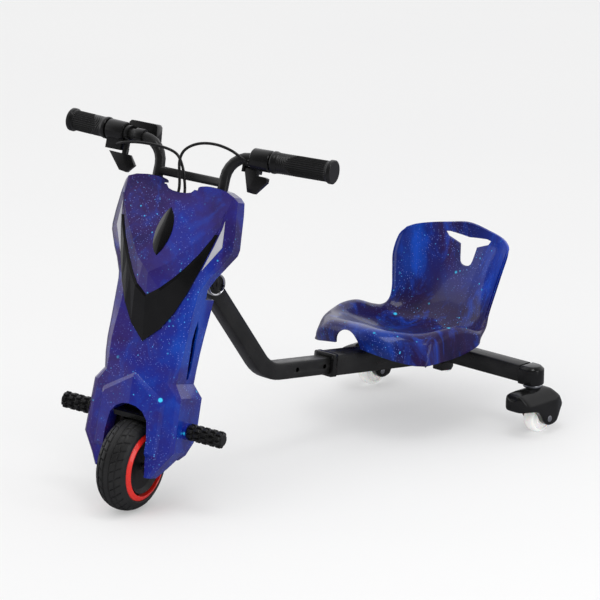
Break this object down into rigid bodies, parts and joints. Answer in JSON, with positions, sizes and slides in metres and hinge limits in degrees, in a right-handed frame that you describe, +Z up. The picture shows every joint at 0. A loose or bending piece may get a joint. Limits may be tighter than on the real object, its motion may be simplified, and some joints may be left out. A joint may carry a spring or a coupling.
{
  "type": "electric drift trike",
  "caption": "Low electric drift trike: faired motor wheel in a steered fork, bent box beam with sliding rear section, bucket seat and swivelling rear casters.",
  "frame": {"origin": "on the ground under the middle of the bounding box, with the front wheel turned 16 degrees to the rider's left as in the picture", "axes": "+X to the rider's left, +Y to the rear along the beam, +Z up"},
  "size_m": [0.522, 0.9556, 0.6539],
  "materials": {
    "fairing_plastic": "glossy blue and violet print of a starry nebula under clear coat",
    "seat_plastic": "glossy blue and violet print of a starry nebula under clear coat",
    "trim_plastic": "black, glossy",
    "lamp_lens": "dark smoked lens",
    "side_lens": "pale grey frosted lens",
    "frame_paint": "satin black powder coat",
    "black_moulding": "black, finely grained",
    "black_rubber": "matt black",
    "tyre_rubber": "matt black with blocks",
    "red_paint": "glossy red",
    "zinc_steel": "bright zinc",
    "chrome_ring": "polished",
    "hub_paint": "satin black",
    "caster_tread": "pale translucent urethane",
    "shrink_wrap": "blue sleeve",
    "window_glass": "dark clear window"
  },
  "bodies": {
    "frame": {"front_frame": "frame_paint", "headset_cup_lower": "zinc_steel", "headset_cup_upper": "zinc_steel", "switch_bezel": "chrome_ring", "switch_core": "black_moulding", "beam_slider": "black_moulding"},
    "rear": {"rear_frame": "frame_paint", "sleeve_collar": "black_moulding", "seat_shell": "seat_plastic", "seat_mount": "frame_paint", "seat_bolt_1": "zinc_steel", "seat_bolt_2": "zinc_steel", "seat_bolt_3": "zinc_steel", "seat_bolt_4": "zinc_steel", "anti_tip_bracket": "frame_paint", "cross_cap_left": "black_moulding", "cross_cap_right": "black_moulding", "caster_stem_left": "zinc_steel", "caster_stem_right": "zinc_steel"},
    "steering": {"fork": "frame_paint", "front_shell": "fairing_plastic", "rear_shell": "fairing_plastic", "front_trim_v": "trim_plastic", "lamp_lens": "lamp_lens", "battery_pack": "shrink_wrap", "motor_controller": "zinc_steel", "stem_clamp": "frame_paint", "stem_cap": "frame_paint", "handlebar": "frame_paint", "grip_left": "black_rubber", "grip_right": "black_rubber", "throttle_housing": "black_moulding", "display_housing": "black_moulding", "display_window": "window_glass", "brake_perch": "black_moulding", "throttle_cable": "black_rubber", "brake_cable": "black_rubber", "motor_axle": "zinc_steel", "axle_nut_left": "zinc_steel", "axle_nut_right": "zinc_steel", "side_lens_left": "side_lens", "side_lens_right": "side_lens", "peg_core_left": "frame_paint", "peg_core_right": "frame_paint", "peg_rubber_left": "black_rubber", "peg_rubber_right": "black_rubber"},
    "front_wheel": {"tyre": "tyre_rubber", "motor_hub": "hub_paint", "rim_ring_left": "red_paint", "rim_ring_right": "red_paint"},
    "throttle": {"throttle_paddle": "black_moulding"},
    "brake": {"brake_lever": "black_moulding"},
    "caster_left": {"caster_hood_left": "black_moulding", "caster_axle_left": "zinc_steel"},
    "caster_right": {"caster_hood_right": "black_moulding", "caster_axle_right": "zinc_steel"},
    "caster_tread_left": {"caster_wheel_left": "caster_tread"},
    "caster_tread_right": {"caster_wheel_right": "caster_tread"},
    "anti_tip": {"anti_tip_wheel": "caster_tread"}
  },
  "joints": [
    {"name": "steering", "type": "hinge", "parent": "frame", "child": "steering", "pos_m": [0.00472, -0.385, 0.0825], "axis": [0, 0.2588, 0.9659], "range_deg": [-61, 29]},
    {"name": "front_wheel_spin", "type": "hinge", "parent": "steering", "child": "front_wheel", "pos_m": [0.00802, -0.39698, 0.08238], "axis": [0.9613, 0.2662, -0.0713], "continuous": true},
    {"name": "throttle_press", "type": "hinge", "parent": "steering", "child": "throttle", "pos_m": [-0.13107, -0.2648, 0.6219], "axis": [-0.9711, -0.2211, 0.0903], "range_deg": [0, 22], "stiffness_Nm_per_rad": 0.6},
    {"name": "brake_pull", "type": "hinge", "parent": "steering", "child": "brake", "pos_m": [0.0009, -0.23446, 0.59293], "axis": [0.9613, 0.2662, -0.0713], "range_deg": [0, 18], "stiffness_Nm_per_rad": 0.8},
    {"name": "length_slide", "type": "slide", "parent": "frame", "child": "rear", "axis": [0, 0.9925, -0.1219], "range_m": [-0.07, 0.07]},
    {"name": "caster_swivel_left", "type": "hinge", "parent": "rear", "child": "caster_left", "pos_m": [0.22172, 0.413, 0.04], "axis": [0, 0, 1], "continuous": true},
    {"name": "caster_spin_left", "type": "hinge", "parent": "caster_left", "child": "caster_tread_left", "pos_m": [0.22172, 0.43, 0.031], "axis": [1, 0, 0], "continuous": true},
    {"name": "caster_swivel_right", "type": "hinge", "parent": "rear", "child": "caster_right", "pos_m": [-0.21228, 0.413, 0.04], "axis": [0, 0, 1], "continuous": true},
    {"name": "caster_spin_right", "type": "hinge", "parent": "caster_right", "child": "caster_tread_right", "pos_m": [-0.21228, 0.43, 0.031], "axis": [1, 0, 0], "continuous": true},
    {"name": "anti_tip_spin", "type": "hinge", "parent": "rear", "child": "anti_tip", "pos_m": [0.00472, 0.412, 0.087], "axis": [1, 0, 0], "continuous": true}
  ]
}
